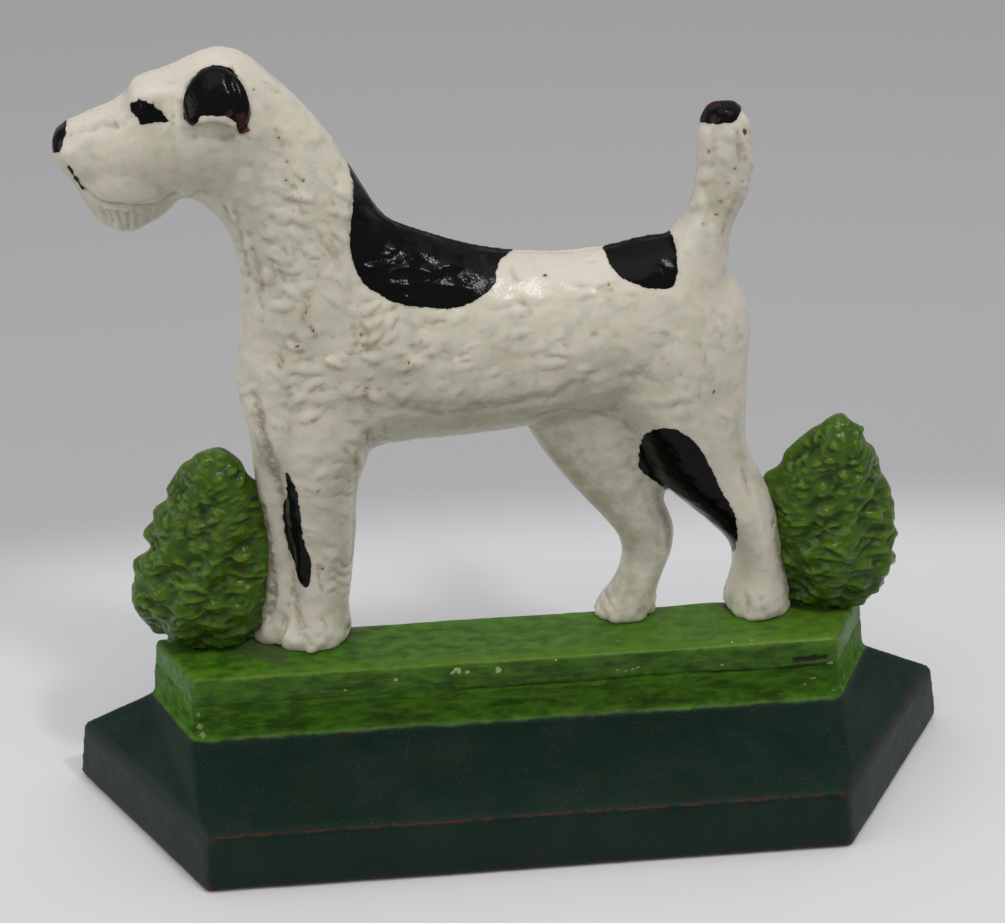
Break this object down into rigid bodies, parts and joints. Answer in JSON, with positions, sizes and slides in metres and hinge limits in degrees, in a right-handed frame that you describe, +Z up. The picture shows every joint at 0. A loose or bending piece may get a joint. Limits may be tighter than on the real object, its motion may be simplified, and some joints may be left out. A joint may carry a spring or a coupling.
{
  "type": "doorstop",
  "caption": "Flat-backed cast iron terrier doorstop: a standing relief dog between two clipped shrubs, on a turf slab screwed to a hollow stepped base.",
  "frame": {"origin": "centre of the base's outline, on the floor", "axes": "+X from the dog's nose towards its tail, +Y out of the flat back, +Z up"},
  "size_m": [0.254, 0.0594, 0.2212],
  "materials": {
    "cream_paint": "glossy cream enamel on cast iron with black patches, worn and speckled",
    "leaf_paint": "glossy bright green enamel on cast iron",
    "turf_paint": "brushed-on green enamel on cast iron",
    "base_paint": "dark green enamel on cast iron, dusty satin, rubbed edges",
    "screw_steel": "dull steel"
  },
  "bodies": {
    "root": {"dog_casting": "cream_paint", "shrub_front": "leaf_paint", "shrub_rear": "leaf_paint", "turf_slab": "turf_paint", "base_casting": "base_paint", "front_shrub_screw": "screw_steel", "front_shrub_washer": "screw_steel", "front_paw_screw": "screw_steel", "front_paw_washer": "screw_steel", "far_hind_paw_screw": "screw_steel", "far_hind_paw_washer": "screw_steel", "near_hind_paw_screw": "screw_steel", "near_hind_paw_washer": "screw_steel", "rear_shrub_screw": "screw_steel", "rear_shrub_washer": "screw_steel", "slab_front_screw": "screw_steel", "slab_front_washer": "screw_steel", "slab_middle_screw": "screw_steel", "slab_middle_washer": "screw_steel", "slab_rear_screw": "screw_steel", "slab_rear_washer": "screw_steel"}
  },
  "joints": []
}
